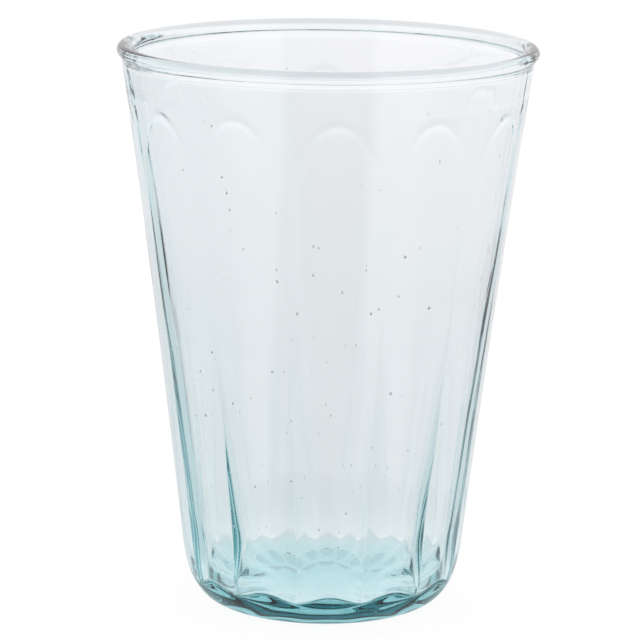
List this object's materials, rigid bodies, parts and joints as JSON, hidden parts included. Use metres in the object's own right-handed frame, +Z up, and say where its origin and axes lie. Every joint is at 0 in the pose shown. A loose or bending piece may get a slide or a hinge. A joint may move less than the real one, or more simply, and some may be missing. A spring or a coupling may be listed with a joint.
{
  "type": "water glass",
  "caption": "Tapered tumbler of pale aqua glass with a smooth outside, arched flutes pressed into the inside, a rounded heavy foot and a rolled lip.",
  "frame": {"origin": "centre of the flat foot, on the surface that the glass stands on", "axes": "+Z up the axis of the glass, -Y the side that the picture shows, +X to the right of it"},
  "size_m": [0.09, 0.09, 0.122],
  "materials": {
    "foot_glass": "clear gloss, aqua where it is thick",
    "wall_glass": "clear gloss, almost colourless",
    "lip_glass": "fire-polished gloss"
  },
  "bodies": {
    "root": {"base": "foot_glass", "fluted_wall": "wall_glass", "collar": "wall_glass", "lip": "lip_glass"}
  },
  "joints": []
}
